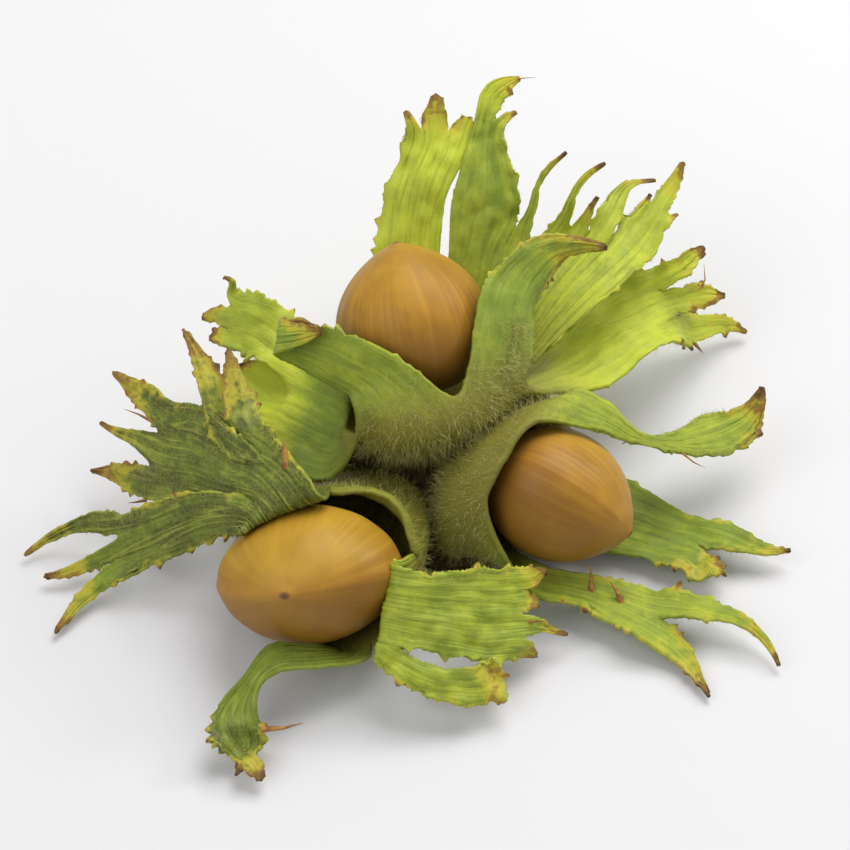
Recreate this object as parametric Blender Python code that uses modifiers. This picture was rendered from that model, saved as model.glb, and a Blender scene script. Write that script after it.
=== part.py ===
# Hazelnut cluster: three ripe nuts, each in its own leafy husk, on one short common stalk.
import bpy
import bmesh
import math
import random
from mathutils import Matrix, Vector

MM = 0.001

# Layout plane: points are given as right, up the plane and out from it, in millimetres.
# The plane leans back by LEAN from the level, and its zero point is LIFT above the floor.
LEAN = math.radians(50)
LIFT = 12.0

# Nuts: centre, apex direction, half-widths and half-length, in the layout plane.
NUT_TOP = ((-1.6, 13.0, 4.0), (-0.2, 0.98, 0.02), 9.3, 9.0, 9.4)
NUT_LEFT = ((-14.2, -18.3, 13.5), (-0.24, -0.19, 0.95), 11.2, 8.3, 9.5)
NUT_RIGHT = ((16.7, -8.8, 5.2), (0.86, -0.45, 0.22), 8.1, 8.1, 9.2)
NUT_AROUND = 22
NUT_ALONG = 13

# Husk walls.
CUP_THICK = 1.5
BLADE_THICK = 0.7
TOOTH = 0.6
TOOTH_SHARE = 0.5
SMOOTHING = 2
KEEP_SHARE = 0.24

# The level that the cluster is cut to, so that it rests on small flats.
REST_LEVEL = 0.1

# Directions in the layout plane, used to say which way the back of a lobe looks.
OUT = (0.0, 0.0, 1.0)
IN = (0.0, 0.0, -1.0)
FLOOR = (0.0, -0.64, -0.77)
SKY = (0.0, 0.64, 0.77)
RIGHT = (1.0, 0.0, 0.0)
LEFT = (-1.0, 0.0, 0.0)
DOWN = (0.0, -1.0, 0.0)


def place(x, up, out):
    """A point of the layout plane, in metres above the floor."""
    y = up * math.sin(LEAN) - out * math.cos(LEAN)
    z = LIFT + up * math.cos(LEAN) + out * math.sin(LEAN)
    return Vector((x, y, z)) * MM


def aim(x, up, out):
    """A direction of the layout plane."""
    y = up * math.sin(LEAN) - out * math.cos(LEAN)
    z = up * math.cos(LEAN) + out * math.sin(LEAN)
    return Vector((x, y, z)).normalized()


def lobe(*stations, into=(), cols=2):
    """A strip of husk, as stations that may split into children.

    A station is right, up, out, half-width, back direction, bulge and, where the line of
    centres doesn't show it, the direction that the strip runs in.
    """
    return stations, into, cols


def columns(strip):
    stations, into, cols = strip
    return sum(columns(child) for child in into) if into else cols


# Top husk: rings of the cup from its base to its rim.
TOP_RINGS = (
    ((1.6, -3.0, -3.0), (-0.1, 0.85, 0.5), 2.8, 2.8),
    ((1.6, -0.6, 1.5), (-0.30, 0.94, 0.18), 8.4, 7.2),
    ((0.8, 0.6, 2.6), (-0.25, 0.96, 0.10), 10.2, 9.1),
    ((0.0, 2.1, 3.4), (-0.18, 0.98, 0.02), 10.8, 9.8),
)
TOP_LOBES = (
    (15, lobe(
        (9.7, 10.8, 8.2, 5.0, (0.57, 0.0, 0.82), 1.0),
        (9.7, 15.3, 7.6, 4.7, (0.60, 0.0, 0.80), 0.8),
        (12.2, 19.3, 5.4, 3.4, (0.50, -0.2, 0.80), 0.4),
        (15.5, 21.8, 5.0, 2.5, (0.20, -0.5, 0.85), 0.4),
        (19.0, 22.4, 5.0, 1.7, (0.10, -0.5, 0.85), 0.4),
        (22.3, 21.9, 5.0, 0.6, (0.10, -0.5, 0.85), 0.0), cols=4)),
    (69, lobe(
        (-3.9, 4.8, 13.2, 3.5, (-0.1, -0.35, 0.9), 0.3),
        (-8.0, 7.3, 12.0, 3.4, (-0.2, -0.5, 0.83), 0.5),
        (-11.9, 9.0, 10.0, 3.0, (-0.2, -0.4, 0.85), 0.6),
        (-15.2, 10.3, 9.0, 2.1, (0.0, -0.4, 0.9), 0.6),
        (-17.6, 10.9, 9.0, 1.2, (0.0, -0.4, 0.9), 0.4), cols=4)),
    (140, lobe(
        (-12.4, 2.4, -2.6, 9.2, IN, 0.8, (-1.0, 0.0, -0.4)),
        into=(
            lobe(
                (-15.0, 0.6, -3.6, 6.6, FLOOR, 0.8),
                into=(
                    lobe(
                        (-18.4, -2.6, -4.0, 2.9, FLOOR, 0.4),
                        (-22.0, -0.6, -5.6, 1.6, FLOOR, 0.0)),
                    lobe(
                        (-19.8, 5.0, -6.0, 3.7, FLOOR, 0.6),
                        (-24.4, 7.0, -7.8, 2.3, FLOOR, 0.0)),
                )),
            lobe(
                (-14.0, 11.6, 0.5, 3.2, IN, 0.4),
                (-18.6, 13.6, -2.4, 3.2, IN, 0.4),
                (-23.6, 14.8, -5.8, 3.2, IN, 0.3),
                (-28.2, 14.4, -8.0, 1.8, IN, 0.0)),
        ))),
    (215, lobe(
        (-3.4, 14.5, -7.2, 4.6, IN, -0.6),
        (-1.9, 22.5, -6.4, 4.3, IN, -0.6),
        (-1.2, 29.4, -4.5, 4.2, IN, -0.4),
        (0.9, 33.9, -4.0, 4.0, IN, -0.2),
        into=(
            lobe(
                (-0.1, 37.6, -4.0, 1.8, IN, 0.0),
                (1.1, 41.0, -4.0, 0.5, IN, 0.0)),
            lobe(
                (3.5, 36.9, -4.0, 1.7, IN, 0.0),
                (5.2, 39.2, -4.0, 0.4, IN, 0.0)),
        ))),
    (262, lobe(
        (6.5, 14.5, -6.4, 4.8, IN, -0.6),
        (8.4, 22.0, -5.8, 4.8, IN, -0.6),
        into=(
            lobe(
                (7.8, 28.6, -4.6, 4.2, IN, -0.4),
                (7.7, 34.2, -4.0, 2.4, IN, -0.2),
                (8.6, 38.7, -4.0, 2.1, IN, 0.0),
                (9.0, 41.8, -4.0, 1.6, IN, 0.0),
                (10.9, 43.3, -4.0, 0.8, IN, 0.0),
                (13.7, 43.6, -4.0, 0.4, IN, 0.0)),
            lobe(
                (13.3, 26.0, -4.6, 0.9, IN, 0.0),
                (14.3, 30.6, -3.0, 0.6, IN, 0.0),
                (17.6, 34.0, -2.5, 0.4, IN, 0.0)),
        ))),
    (305, lobe(
        (15.2, 16.4, -4.0, 5.6, (0.3, -0.2, -0.9), -0.6),
        (21.4, 22.4, -6.0, 6.6, (0.3, -0.2, -0.9), -0.6),
        into=(
            lobe(
                (18.6, 28.4, -2.5, 1.0, IN, 0.0),
                (20.0, 31.0, -1.8, 0.8, IN, 0.0),
                (22.6, 32.7, -1.0, 0.4, IN, 0.0)),
            lobe(
                (21.2, 26.6, -4.5, 0.8, IN, 0.0),
                (21.8, 28.6, -4.0, 0.4, IN, 0.0)),
            lobe(
                (24.2, 27.0, -7.0, 1.7, IN, 0.0),
                (25.6, 30.0, -8.0, 1.2, IN, 0.0),
                (29.0, 30.6, -9.0, 0.4, IN, 0.0)),
            lobe(
                (27.6, 23.8, -9.0, 3.2, IN, 0.3),
                (30.4, 28.2, -10.5, 2.3, IN, 0.2),
                (31.9, 31.0, -11.5, 1.2, IN, 0.0),
                (33.2, 33.6, -12.0, 0.4, IN, 0.0)),
        ))),
    (347, lobe(
        (18.2, 6.8, -7.4, 7.6, (0.3, -0.4, -0.85), -0.4),
        (25.2, 11.4, -9.5, 6.4, (0.3, -0.4, -0.85), -0.4),
        into=(
            lobe(
                (29.0, 18.2, -11.0, 2.4, IN, 0.0),
                (32.4, 20.6, -12.0, 1.6, IN, 0.0),
                (35.5, 22.6, -12.5, 0.4, IN, 0.0)),
            lobe(
                (30.8, 14.9, -13.5, 2.1, IN, 0.2),
                (35.2, 16.4, -15.0, 1.6, IN, 0.0),
                (38.8, 17.0, -16.0, 0.5, IN, 0.0)),
            lobe(
                (30.0, 10.6, -16.0, 2.4, IN, 0.2),
                (34.9, 12.7, -19.5, 2.0, IN, 0.0),
                (38.9, 13.1, -22.0, 1.4, IN, 0.0),
                (42.3, 12.4, -24.5, 0.4, IN, 0.0)),
        ))),
)

# Right husk.
RIGHT_RINGS = (
    ((2.6, -8.8, -1.0), (0.95, 0.1, 0.3), 2.6, 2.6),
    ((3.8, -9.6, 0.8), (0.90, -0.2, 0.30), 5.7, 6.2),
    ((8.0, -8.4, 2.6), (0.87, -0.4, 0.27), 8.6, 8.6),
    ((11.4, -6.6, 3.7), (0.85, -0.45, 0.25), 10.0, 9.8),
)
RIGHT_LOBES = (
    (-45, lobe(
        (17.2, 3.1, 6.9, 3.5, (0.0, 0.6, 0.8), 0.6),
        (22.3, 0.9, 5.9, 2.7, (0.0, 0.6, 0.8), 0.4),
        (25.9, -1.7, 3.4, 1.3, (0.0, 0.6, 0.8), 0.2),
        (28.2, -2.1, 1.6, 0.8, (0.0, 0.6, 0.8), 0.0),
        (31.6, -2.6, -0.6, 2.0, (0.0, 0.5, 0.85), 0.0),
        (36.2, -1.0, -3.0, 2.3, (0.0, 0.5, 0.85), 0.0),
        (40.0, 0.9, -4.6, 1.6, (0.0, 0.5, 0.85), 0.0),
        (42.3, 4.4, -5.0, 0.5, (0.0, 0.5, 0.85), 0.0), cols=4)),
    (45, lobe(
        (20.5, -10.4, -5.4, 6.6, FLOOR, 0.4),
        (27.6, -12.8, -1.2, 5.4, FLOOR, 0.5),
        (33.1, -14.2, 0.4, 4.6, FLOOR, 0.3),
        into=(
            lobe(
                (37.9, -14.2, 0.6, 2.6, FLOOR, 0.0),
                (42.5, -15.9, 1.2, 0.8, FLOOR, 0.0),
                (45.6, -15.6, 1.6, 0.4, FLOOR, 0.0)),
            lobe(
                (34.8, -18.6, 2.6, 0.9, FLOOR, 0.0),
                (35.2, -20.4, 4.0, 0.4, FLOOR, 0.0)),
        ))),
    (150, lobe(
        (13.1, -19.6, 6.4, 3.0, FLOOR, 0.4),
        (18.8, -19.6, 6.0, 2.6, FLOOR, 0.4),
        into=(
            lobe(
                (26.9, -20.0, 7.0, 1.8, FLOOR, 0.2),
                (34.4, -22.2, 8.2, 1.8, FLOOR, 0.2),
                (40.0, -24.4, 8.7, 1.1, FLOOR, 0.0),
                (43.1, -27.1, 9.7, 0.7, FLOOR, 0.0),
                (44.0, -29.6, 10.7, 0.4, FLOOR, 0.0)),
            lobe(
                (25.0, -23.4, 7.9, 1.8, FLOOR, 0.2),
                (30.4, -26.9, 9.5, 1.7, FLOOR, 0.2),
                (33.4, -29.4, 10.8, 0.9, FLOOR, 0.0),
                (35.1, -33.4, 13.9, 0.4, FLOOR, 0.0)),
        ))),
    (245, lobe(cols=4)),
)

# Left husk.
LEFT_RINGS = (
    ((-4.0, -11.0, -1.5), (-0.6, 0.1, 0.75), 2.6, 2.6),
    ((-5.6, -12.0, 1.2), (-0.5, 0.2, 0.83), 6.6, 6.2),
    ((-9.6, -14.6, 3.8), (-0.34, 0.2, 0.92), 10.8, 9.6),
    ((-11.6, -17.1, 8.8), (-0.34, 0.0, 0.94), 13.4, 11.2),
)
LEFT_LOBES = (
    (-12, lobe(
        (-2.0, -22.4, 15.0, 6.2, (0.9, -0.3, -0.2), 0.0),
        (-1.0, -25.0, 17.6, 7.4, (0.2, -0.1, -0.95), 0.5),
        (5.6, -25.2, 15.6, 7.4, (0.1, -0.1, -0.95), 0.4),
        into=(
            lobe(
                (11.2, -19.4, 12.0, 1.8, IN, 0.0),
                (14.4, -18.2, 9.6, 0.7, IN, 0.0)),
            lobe(
                (11.2, -22.8, 12.6, 1.9, IN, 0.0),
                (14.4, -23.8, 10.4, 0.7, IN, 0.0)),
            lobe(
                (12.2, -26.0, 13.0, 1.9, IN, 0.0),
                (17.0, -25.8, 10.0, 0.5, IN, 0.0)),
            lobe(
                (5.6, -32.0, 18.2, 2.0, IN, 0.0),
                (8.8, -33.2, 16.6, 1.0, IN, 0.0)),
        ))),
    (62, lobe(
        (-8.6, -28.8, 14.0, 3.0, (-0.1, -0.75, -0.6), 0.0),
        (-14.6, -28.6, 17.2, 2.4, (0.0, -0.6, -0.8), 0.0),
        (-19.8, -28.8, 18.6, 2.3, (0.0, -0.4, -0.9), 0.0),
        (-22.6, -32.4, 19.2, 3.0, IN, 0.0),
        (-23.4, -36.2, 19.8, 2.9, IN, 0.0),
        (-21.4, -39.4, 21.0, 1.8, IN, 0.0),
        (-19.8, -42.2, 22.6, 0.5, IN, 0.0))),
    (118, lobe(cols=4)),
    (196, lobe(
        (-21.0, -7.6, 15.6, 6.2, (-0.3, 0.5, -0.6), 0.0),
        into=(
            lobe(
                (-26.0, -10.6, 11.4, 3.0, (0.0, 0.2, -0.9), 0.0),
                (-31.0, -13.2, 8.2, 2.7, IN, 0.0),
                (-35.8, -14.6, 5.2, 3.0, IN, 0.0),
                into=(
                    lobe(
                        (-40.0, -19.2, 4.4, 1.2, IN, 0.0),
                        (-43.1, -22.1, 5.2, 0.9, IN, 0.0),
                        (-45.6, -25.6, 7.3, 0.4, IN, 0.0)),
                    lobe(
                        (-40.6, -16.9, 2.8, 0.9, IN, 0.0),
                        (-44.4, -18.5, 2.6, 0.8, IN, 0.0),
                        (-47.4, -18.9, 2.4, 0.4, IN, 0.0)),
                    lobe(
                        (-41.0, -13.0, 1.6, 1.4, IN, 0.0),
                        (-45.4, -13.1, -0.8, 1.0, IN, 0.0),
                        (-48.1, -14.7, -0.7, 0.6, IN, 0.0),
                        (-50.2, -16.4, -0.4, 0.4, IN, 0.0)),
                )),
            lobe(
                (-25.0, -5.2, 10.0, 6.0, (-0.1, 0.2, -0.9), 0.0),
                (-29.0, -2.6, 6.4, 5.8, IN, 0.0),
                into=(
                    lobe(
                        (-33.6, -6.4, 2.6, 2.0, IN, 0.0),
                        (-38.1, -5.4, -1.5, 1.2, IN, 0.0),
                        (-42.1, -5.6, -4.5, 0.4, IN, 0.0)),
                    lobe(
                        (-34.8, -2.4, 1.8, 1.2, IN, 0.0),
                        (-37.7, -1.5, -0.6, 0.8, IN, 0.0),
                        (-40.6, 0.2, -3.0, 0.4, IN, 0.0)),
                    lobe(
                        (-31.6, 1.6, 3.2, 2.1, IN, 0.0),
                        (-34.6, 3.4, 0.8, 1.6, IN, 0.0),
                        (-37.5, 4.9, -1.2, 0.9, IN, 0.0),
                        (-39.1, 6.5, -2.0, 0.4, IN, 0.0)),
                )),
            lobe(
                (-22.6, -2.4, 11.6, 3.6, (-0.2, 0.1, -0.9), 0.0),
                into=(
                    lobe(
                        (-25.8, 3.0, 7.0, 1.8, IN, 0.0),
                        (-27.6, 7.9, 4.4, 1.2, IN, 0.0),
                        (-30.1, 11.9, 2.0, 0.4, IN, 0.0)),
                    lobe(
                        (-22.3, 1.4, 10.6, 2.4, IN, 0.0),
                        (-23.2, 5.4, 9.4, 1.7, IN, 0.0),
                        (-24.3, 9.6, 7.6, 0.4, IN, 0.0)),
                )),
        ))),
    (283, lobe(
        (-4.6, -11.4, 13.2, 8.4, (0.6, 0.75, -0.1), 4.4),
        cols=4)),
)


def material(name, colour, roughness):
    """A plain Principled material."""
    made = bpy.data.materials.new(name)
    made.use_nodes = True
    shader = made.node_tree.nodes["Principled BSDF"]
    shader.inputs["Base Color"].default_value = (*colour, 1.0)
    shader.inputs["Roughness"].default_value = roughness
    return made


def add_object(name, mesh, slot, origin):
    """Put a mesh in the cluster's collection with its material and its own origin."""
    mesh.transform(Matrix.Translation(-origin))
    made = bpy.data.objects.new(name, mesh)
    made.data.materials.append(slot)
    made.location = origin
    cluster.objects.link(made)
    return made


def carry(child, parent):
    """Parent an object, keeping its place."""
    child.location = child.location - parent.location
    child.parent = parent


def baked(made):
    """The mesh of an object after its modifiers."""
    graph = bpy.context.evaluated_depsgraph_get()
    return bpy.data.meshes.new_from_object(made.evaluated_get(graph))


def axes(normal, zero):
    """Two directions across a ring, the first nearest to zero."""
    first = (zero - normal * zero.dot(normal)).normalized()
    return first, first.cross(normal)


def nut(name, spec, slot):
    """A nut: flattened at its base scar, widest below the middle and pointed at its apex."""
    (x, up, out), way, half_wide, half_deep, half_long = spec
    normal = aim(*way)
    first, second = axes(normal, aim(1, 0, 0) if abs(way[0]) < 0.6 else aim(0, 1, 0))
    second = -second
    middle = place(x, up, out)
    bm = bmesh.new()
    bmesh.ops.create_uvsphere(bm, u_segments=NUT_AROUND, v_segments=NUT_ALONG, radius=1.0)
    for vert in bm.verts:
        along = vert.co.z
        rim = math.sqrt(max(0.0, 1.0 - along * along))
        around = math.atan2(vert.co.y, vert.co.x)
        # Fuller towards the base, drawn in towards the apex.
        swell = rim * (1.0 - 0.05 * along - 0.06 * max(0.0, along) ** 2)
        swell = swell * 1.02 if along < 0 else swell
        tall = along + 0.06 * max(0.0, along) ** 12
        tall = max(tall, -0.9)
        square = 1.0 + 0.012 * math.cos(4 * around)
        vert.co = middle + (first * math.cos(around) * half_wide * swell * square
                            + second * math.sin(around) * half_deep * swell * square
                            + normal * tall * half_long) * MM
    mesh = bpy.data.meshes.new(name)
    bm.to_mesh(mesh)
    bm.free()
    return add_object(name, mesh, slot, middle)


def join_rows(bm, lower, upper):
    for i in range(len(lower) - 1):
        bm.faces.new((lower[i], lower[i + 1], upper[i + 1], upper[i]))


def grow(bm, row, strip, layers, step):
    """Carry a row of husk out along its stations, then split it into its children."""
    stations, into, cols = strip
    thick, blade = layers
    for i, (x, up, out, half, back, bulge, *along) in enumerate(stations):
        here = place(x, up, out)
        behind = sum((v.co for v in row), Vector()) / len(row)
        ahead = here + (here - behind)
        if i + 1 < len(stations):
            ahead = place(*stations[i + 1][:3])
        elif into:
            heads = [place(*child[0][0][:3]) for child in into if child[0]]
            ahead = sum(heads, Vector()) / len(heads)
        tangent = aim(*along[0]) if along else (ahead - behind).normalized()
        face = aim(*back)
        across = face.cross(tangent).normalized()
        face = tangent.cross(across)
        step += 1
        fresh = []
        for j in range(len(row)):
            side = 2.0 * j / (len(row) - 1) - 1.0
            spot = here + (across * half * side + face * bulge * (1.0 - side * side)) * MM
            vert = bm.verts.new(spot)
            vert[thick] = 0.35 if step == 1 else 0.1
            vert[blade] = min(1.0, step / 3.0) * min(1.0, half * TOOTH_SHARE)
            fresh.append(vert)
        join_rows(bm, row, fresh)
        row = fresh
    start = 0
    for child in into:
        wide = columns(child)
        grow(bm, row[start:start + wide + 1], child, layers, step)
        start += wide


def husk_sheet(rings, lobes, zero):
    """The whole husk as one open sheet of a few faces."""
    bm = bmesh.new()
    thick = bm.verts.layers.float.new("thick")
    blade = bm.verts.layers.float.new("blade")
    turns = []
    spans = []
    for i, (start, strip) in enumerate(lobes):
        end = lobes[(i + 1) % len(lobes)][0] + (360 if i + 1 == len(lobes) else 0)
        wide = columns(strip)
        spans.append((len(turns), wide, strip))
        turns += [math.radians(start + (end - start) * j / wide) for j in range(wide)]
    rows = []
    for i, (middle, way, half_first, half_second) in enumerate(rings):
        normal = aim(*way)
        first, second = axes(normal, aim(*zero))
        row = []
        for turn in turns:
            spot = place(*middle) + (first * math.cos(turn) * half_first
                                     + second * math.sin(turn) * half_second) * MM
            vert = bm.verts.new(spot)
            vert[thick] = 1.0 if i < 3 else 0.6
            row.append(vert)
        if rows:
            join_rows(bm, rows[-1] + rows[-1][:1], row + row[:1])
        rows.append(row)
    bm.faces.new(list(reversed(rows[0])))
    rim = rows[-1] + rows[-1][:1]
    for start, wide, strip in spans:
        grow(bm, rim[start:start + wide + 1], strip, (thick, blade), 0)
    bmesh.ops.recalc_face_normals(bm, faces=bm.faces)
    return bm


def tooth_edges(bm, seed):
    """Notch the free edges of the lobes."""
    blade = bm.verts.layers.float["blade"]
    chance = random.Random(seed)
    moves = []
    for vert in bm.verts:
        edges = [edge for edge in vert.link_edges if edge.is_boundary]
        if len(edges) != 2 or vert[blade] <= 0.05:
            continue
        along = edges[0].other_vert(vert).co - edges[1].other_vert(vert).co
        outward = along.cross(vert.normal).normalized()
        inner = sum((face.calc_center_median() for face in vert.link_faces), Vector())
        inner = inner / len(vert.link_faces)
        if outward.dot(vert.co - inner) < 0:
            outward = -outward
        moves.append((vert, outward, chance.uniform(-1.0, 1.0)))
    for vert, outward, push in moves:
        vert.co += outward * push * TOOTH * vert[blade] * MM


def husk(name, rings, lobes, zero, slot, seed):
    """A husk: the sheet smoothed, toothed and given its thickness."""
    bm = husk_sheet(rings, lobes, zero)
    mesh = bpy.data.meshes.new(name)
    bm.to_mesh(mesh)
    bm.free()
    draft = add_object(name + "_draft", mesh, slot, Vector())
    smooth = draft.modifiers.new("smooth", "SUBSURF")
    smooth.levels = SMOOTHING
    smooth.render_levels = SMOOTHING
    bm = bmesh.new()
    bm.from_mesh(baked(draft))
    bm.normal_update()
    tooth_edges(bm, seed)
    bmesh.ops.triangulate(bm, faces=bm.faces)
    bm.to_mesh(mesh)
    blade = bm.verts.layers.float["thick"]
    weights = [vert[blade] for vert in bm.verts]
    bm.free()
    draft.modifiers.clear()
    group = draft.vertex_groups.new(name="thick")
    for i, weight in enumerate(weights):
        group.add([i], weight, "REPLACE")
    fewer = draft.modifiers.new("fewer", "DECIMATE")
    fewer.ratio = KEEP_SHARE
    wall = draft.modifiers.new("wall", "SOLIDIFY")
    wall.thickness = CUP_THICK * MM
    wall.offset = 0.0
    wall.vertex_group = "thick"
    wall.thickness_vertex_group = BLADE_THICK / CUP_THICK
    solid = baked(draft)
    bpy.data.objects.remove(draft)
    return add_object(name, solid, slot, place(*rings[0][0]))


def stalk(name, slot):
    """The short stalk under the three cups, with a branch to each."""
    line = bpy.data.curves.new(name, "CURVE")
    line.dimensions = "3D"
    line.bevel_depth = 1.0 * MM
    line.bevel_resolution = 2
    line.resolution_u = 8
    line.use_fill_caps = True
    run = line.splines.new("BEZIER")
    run.bezier_points.add(2)
    spots = ((-1.1, -8.3, -2.6), (0.5, -4.0, -7.6), (1.5, 0.8, -15.0))
    for knot, spot, wide in zip(run.bezier_points, spots, (3.2, 1.9, 2.1)):
        knot.co = place(*spot)
        knot.radius = wide
        knot.handle_left_type = "AUTO"
        knot.handle_right_type = "AUTO"
    draft = bpy.data.objects.new(name + "_draft", line)
    cluster.objects.link(draft)
    mesh = baked(draft)
    bpy.data.objects.remove(draft)
    bm = bmesh.new()
    bm.from_mesh(mesh)
    bmesh.ops.remove_doubles(bm, verts=bm.verts, dist=0.001 * MM)
    bmesh.ops.recalc_face_normals(bm, faces=bm.faces)
    bm.to_mesh(mesh)
    bm.free()
    return add_object(name, mesh, slot, place(*spots[0]))


def cut_flat(made, block):
    """Cut the underside flat at the level that the cluster rests on."""
    cut = made.modifiers.new("rest", "BOOLEAN")
    cut.operation = "DIFFERENCE"
    cut.solver = "EXACT"
    cut.object = block


def floor_block():
    """A block whose top is the level that the cluster rests on."""
    bm = bmesh.new()
    bmesh.ops.create_cube(bm, size=200 * MM)
    mesh = bpy.data.meshes.new("floor_block")
    bm.to_mesh(mesh)
    bm.free()
    block = bpy.data.objects.new("floor_block", mesh)
    block.location = (0.0, 0.0, (REST_LEVEL - 100) * MM)
    block.hide_render = True
    block.display_type = "WIRE"
    cutters.objects.link(block)
    return block


def bounds(made):
    """The lowest and highest corner of a list of objects after their modifiers."""
    bpy.context.view_layer.update()
    spots = [one.matrix_world @ vert.co for one in made for vert in baked(one).vertices]
    return [Vector(pick(spot[i] for spot in spots) for i in range(3)) for pick in (min, max)]


for old in list(bpy.data.objects):
    bpy.data.objects.remove(old)
cluster = bpy.data.collections.new("hazelnut")
bpy.context.scene.collection.children.link(cluster)
cutters = bpy.data.collections.new("cutters")
bpy.context.scene.collection.children.link(cutters)

shell = material("shell", (0.50, 0.24, 0.06), 0.35)
green = material("husk", (0.33, 0.42, 0.06), 0.6)
bark = material("stalk", (0.25, 0.22, 0.08), 0.8)

stem = stalk("stalk", bark)
husks = (
    husk("husk_top", TOP_RINGS, TOP_LOBES, (1, 0, 0), green, 1),
    husk("husk_left", LEFT_RINGS, LEFT_LOBES, (1, 0, 0), green, 2),
    husk("husk_right", RIGHT_RINGS, RIGHT_LOBES, (0, 1, 0), green, 3),
)
nuts = (
    nut("nut_top", NUT_TOP, shell),
    nut("nut_left", NUT_LEFT, shell),
    nut("nut_right", NUT_RIGHT, shell),
)

block = floor_block()
for made in (stem, husks[1], husks[2]):
    cut_flat(made, block)
for cup, kernel in zip(husks, nuts):
    carry(kernel, cup)
    carry(cup, stem)
carry(block, stem)

low, high = bounds((stem, *husks, *nuts))
stem.location -= Vector(((low.x + high.x) / 2, (low.y + high.y) / 2, low.z))
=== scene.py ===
# Hazelnut cluster: three ripe nuts in their leafy husks, on one short stalk.
import math
import random

import bmesh
import bpy
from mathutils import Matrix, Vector, noise
from mathutils.bvhtree import BVHTree
from mathutils.kdtree import KDTree


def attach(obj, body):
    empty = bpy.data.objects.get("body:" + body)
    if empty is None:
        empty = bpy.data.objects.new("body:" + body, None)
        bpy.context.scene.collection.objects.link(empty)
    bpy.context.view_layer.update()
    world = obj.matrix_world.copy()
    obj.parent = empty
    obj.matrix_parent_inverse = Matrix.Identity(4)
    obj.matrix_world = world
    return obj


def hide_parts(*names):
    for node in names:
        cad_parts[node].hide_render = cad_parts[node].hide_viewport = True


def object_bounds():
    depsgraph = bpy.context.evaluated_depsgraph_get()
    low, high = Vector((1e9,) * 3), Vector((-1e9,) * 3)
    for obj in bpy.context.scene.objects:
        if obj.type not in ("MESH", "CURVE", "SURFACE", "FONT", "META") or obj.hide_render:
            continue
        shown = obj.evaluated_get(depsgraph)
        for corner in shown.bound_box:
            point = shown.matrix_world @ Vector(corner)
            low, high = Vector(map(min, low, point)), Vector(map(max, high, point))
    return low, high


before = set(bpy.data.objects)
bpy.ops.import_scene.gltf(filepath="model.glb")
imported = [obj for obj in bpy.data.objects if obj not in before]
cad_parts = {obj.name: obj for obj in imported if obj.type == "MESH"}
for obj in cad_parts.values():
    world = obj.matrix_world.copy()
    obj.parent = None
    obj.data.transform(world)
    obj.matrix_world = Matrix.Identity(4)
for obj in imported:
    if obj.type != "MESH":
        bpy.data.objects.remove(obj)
cad_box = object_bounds()

# The place and the light: the cluster lies on a plain white table under soft overhead
# light, and is looked down on at fifty degrees. Points on it are given as right, up the
# picture and out of it, in millimetres, from a spot 12 mm above the table.
MM = 0.001
LEAN = math.radians(50)
MIDDLE = Vector((2.267, 5.300, 11.900))
CAMERA_FAR = 450
PICTURE = 850
PIXELS_PER_MM = 8
TABLE_HALF = 1.5
TABLE_DROP = 0.02


def place(x, up, out):
    """A point of the layout, in metres."""
    y = up * math.sin(LEAN) - out * math.cos(LEAN)
    z = up * math.cos(LEAN) + out * math.sin(LEAN)
    return (MIDDLE + Vector((x, y, z))) * MM


def held(spot, room):
    """A spot, moved where it must be to stay inside the part's own box."""
    low, high = cad_box
    return Vector([min(max(spot[i], low[i] + room * MM), high[i] - room * MM) for i in range(3)])


def aim(x, up, out):
    """A direction of the layout."""
    return (place(x, up, out) - place(0, 0, 0)).normalized()


def light(name, spot, size, power, colour):
    """A square soft light that looks at the cluster."""
    lamp = bpy.data.lights.new(name, "AREA")
    lamp.size = size
    lamp.energy = power
    lamp.color = colour
    made = bpy.data.objects.new(name, lamp)
    made.location = spot
    made.rotation_euler = (-Vector(spot)).to_track_quat("-Z", "Y").to_euler()
    bpy.context.scene.collection.objects.link(made)


lens = bpy.data.cameras.new("camera")
lens.sensor_width = 36
lens.lens = PIXELS_PER_MM * CAMERA_FAR / PICTURE * lens.sensor_width
lens.clip_start = 0.01
camera = bpy.data.objects.new("camera", lens)
camera.location = place(0, 0, CAMERA_FAR)
camera.rotation_euler = (math.pi / 2 - LEAN, 0, 0)
bpy.context.scene.collection.objects.link(camera)
bpy.context.scene.camera = camera
bpy.context.scene.view_settings.view_transform = "Standard"

light("key_light", (0.16, 0.30, 0.62), 0.48, 3.9, (1.0, 0.98, 0.94))
light("window_light", (0.50, 0.22, 0.36), 0.16, 0.9, (1.0, 0.98, 0.93))
light("fill_light", (-0.5, -0.3, 0.6), 0.6, 2.0, (1.0, 0.98, 0.95))
world = bpy.data.worlds.new("soft_room")
bpy.context.scene.world = world
world.use_nodes = True
sky = world.node_tree.nodes["Background"]
sky.inputs["Color"].default_value = (1.0, 0.985, 0.965, 1.0)
sky.inputs["Strength"].default_value = 0.50

table_top = bpy.data.meshes.new("floor")
bm = bmesh.new()
bmesh.ops.create_grid(bm, x_segments=1, y_segments=1, size=TABLE_HALF)
bmesh.ops.translate(bm, verts=bm.verts, vec=(0, 0, -TABLE_DROP * MM))
bm.to_mesh(table_top)
bm.free()
floor = bpy.data.objects.new("floor", table_top)
bpy.context.scene.collection.objects.link(floor)
white = bpy.data.materials.new("table_white")
white.use_nodes = True
paint = white.node_tree.nodes["Principled BSDF"]
paint.inputs["Base Color"].default_value = (0.650, 0.655, 0.690, 1.0)
paint.inputs["Roughness"].default_value = 0.65
table_top.materials.append(white)


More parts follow.
